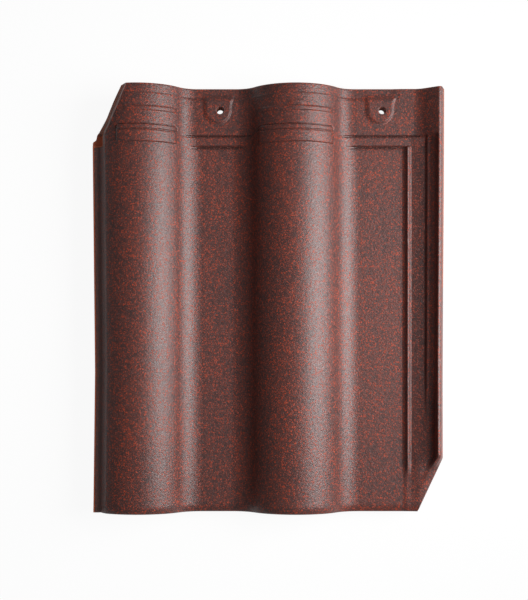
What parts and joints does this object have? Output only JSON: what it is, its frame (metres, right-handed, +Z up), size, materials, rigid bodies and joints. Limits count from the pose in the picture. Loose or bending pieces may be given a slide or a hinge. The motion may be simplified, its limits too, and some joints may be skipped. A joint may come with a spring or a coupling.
{
  "type": "interlocking clay roof tile",
  "caption": "Pressed clay roof tile with raised rolls, flat pans, a side channel, a hooked cover flange, nail holes and cut corners.",
  "frame": {"origin": "centre of the tile's bounding box in plan, at the level that its nibs and tail bars rest on", "axes": "+X across the tile towards the side channel, +Y up the slope towards the head edge, +Z up out of the weathered face"},
  "size_m": [0.34, 0.41, 0.053],
  "materials": {
    "engobed_clay": "dark brown engobe with orange-red speckles, satin"
  },
  "bodies": {
    "root": {"tile": "engobed_clay"}
  },
  "joints": []
}
